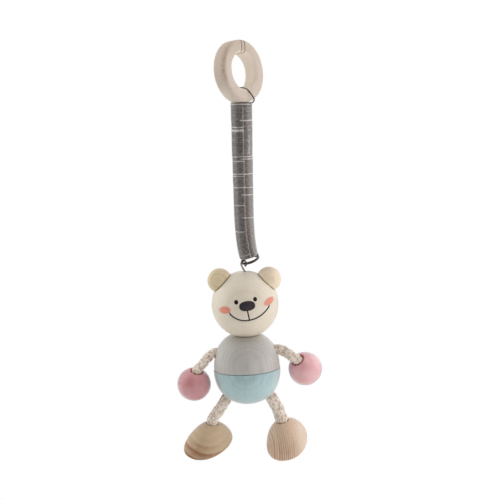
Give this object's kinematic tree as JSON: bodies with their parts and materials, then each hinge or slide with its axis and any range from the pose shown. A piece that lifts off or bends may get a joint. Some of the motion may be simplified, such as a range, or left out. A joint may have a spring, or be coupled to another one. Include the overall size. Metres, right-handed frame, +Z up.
{
  "type": "wooden spring figure",
  "caption": "Hanging toy: a wooden ring, a close-wound steel spring and a turned wooden bear with cord arms and legs that bounces and swings when it is pulled.",
  "frame": {"origin": "top of the ring's inner wall, halfway along its width, where the ring hangs", "axes": "+Z up along the line on which the figure hangs; the figure faces -Y; +X is to the viewer's right when its face is seen"},
  "size_m": [0.0872, 0.04, 0.2523],
  "materials": {
    "ring_wood": "raw, sanded",
    "spring_steel": "bright drawn spring wire",
    "eye_steel": "zinc plated",
    "pale_wood": "natural, oiled satin",
    "ear_wood": "natural, oiled satin",
    "dowel_wood": "raw",
    "grey_stain": "pearl grey stain, satin",
    "mint_stain": "mint stain, satin",
    "pink_lacquer": "pink satin lacquer",
    "foot_wood": "natural, oiled satin",
    "cotton_cord": "braided cotton"
  },
  "bodies": {
    "ring": {"hanging_ring": "ring_wood", "ring_key": "ring_wood"},
    "spring": {"spring_upper_hook": "spring_steel", "spring_coil": "spring_steel"},
    "hook": {"spring_lower_hook": "spring_steel"},
    "figure": {"screw_eye": "eye_steel", "head": "pale_wood", "neck_dowel": "dowel_wood", "ear_left": "ear_wood", "ear_right": "ear_wood", "ear_dowel_left": "dowel_wood", "ear_dowel_right": "dowel_wood", "upper_body": "grey_stain", "body_dowel": "dowel_wood", "lower_body": "mint_stain", "arm_cord_core": "cotton_cord"},
    "arm_left": {"arm_cord_left": "cotton_cord"},
    "hand_left": {"hand_left": "pink_lacquer"},
    "arm_right": {"arm_cord_right": "cotton_cord"},
    "hand_right": {"hand_right": "pink_lacquer"},
    "leg_left": {"leg_cord_left": "cotton_cord"},
    "foot_left": {"foot_left": "foot_wood"},
    "leg_right": {"leg_cord_right": "cotton_cord"},
    "foot_right": {"foot_right": "foot_wood"}
  },
  "joints": [
    {"name": "ring_turn", "type": "hinge", "parent": "ring", "child": "spring", "pos_m": [0.00141, -0.0011, -0.01065], "axis": [0.7761, -0.6085, 0.1657], "continuous": true},
    {"name": "spring_stretch", "type": "slide", "parent": "spring", "child": "hook", "axis": [0, 0, -1], "range_m": [0, 0.09], "stiffness_N_per_m": 15, "springref_m": -0.05, "deforming": ["spring_coil"]},
    {"name": "figure_swing", "type": "hinge", "parent": "hook", "child": "figure", "pos_m": [0.00094, -0.00101, -0.12527], "axis": [0.5721, -0.8201, 0], "range_deg": [-35, 35]},
    {"name": "shoulder_left", "type": "hinge", "parent": "figure", "child": "arm_left", "pos_m": [-0.02101, -0.00129, -0.18028], "axis": [0, 1, 0], "range_deg": [-5, 45], "stiffness_Nm_per_rad": 0.006, "springref_deg": 2.52, "deforming": ["arm_cord_left"]},
    {"name": "wrist_left", "type": "hinge", "parent": "arm_left", "child": "hand_left", "pos_m": [-0.02714, -0.00278, -0.18701], "axis": [0.7395, 0, -0.6732], "range_deg": [-35, 20], "stiffness_Nm_per_rad": 0.006, "springref_deg": 0.4, "deforming": ["arm_cord_left"]},
    {"name": "shoulder_right", "type": "hinge", "parent": "figure", "child": "arm_right", "pos_m": [0.02268, -0.00148, -0.17834], "axis": [0, 1, 0], "range_deg": [-45, 12], "stiffness_Nm_per_rad": 0.006, "springref_deg": -3.32, "deforming": ["arm_cord_right"]},
    {"name": "wrist_right", "type": "hinge", "parent": "arm_right", "child": "hand_right", "pos_m": [0.02902, -0.00323, -0.18251], "axis": [0.5492, 0, 0.8357], "range_deg": [-35, 20], "stiffness_Nm_per_rad": 0.006, "springref_deg": 0.4, "deforming": ["arm_cord_right"]},
    {"name": "hip_left", "type": "hinge", "parent": "figure", "child": "leg_left", "pos_m": [-0.01344, -0.00127, -0.20949], "axis": [0, 1, 0], "range_deg": [-15, 30], "stiffness_Nm_per_rad": 0.006, "springref_deg": 3.84, "deforming": ["leg_cord_left"]},
    {"name": "ankle_left", "type": "hinge", "parent": "leg_left", "child": "foot_left", "pos_m": [-0.01993, -0.00161, -0.21846], "axis": [1, 0, 0], "range_deg": [-30, 30], "stiffness_Nm_per_rad": 0.006, "springref_deg": 0.57, "deforming": ["leg_cord_left"]},
    {"name": "hip_right", "type": "hinge", "parent": "figure", "child": "leg_right", "pos_m": [0.01607, -0.00124, -0.20896], "axis": [0, 1, 0], "range_deg": [-30, 15], "stiffness_Nm_per_rad": 0.006, "springref_deg": -2.81, "deforming": ["leg_cord_right"]},
    {"name": "ankle_right", "type": "hinge", "parent": "leg_right", "child": "foot_right", "pos_m": [0.021, -0.00171, -0.21824], "axis": [1, 0, 0], "range_deg": [-30, 30], "stiffness_Nm_per_rad": 0.006, "springref_deg": 0.57, "deforming": ["leg_cord_right"]}
  ]
}
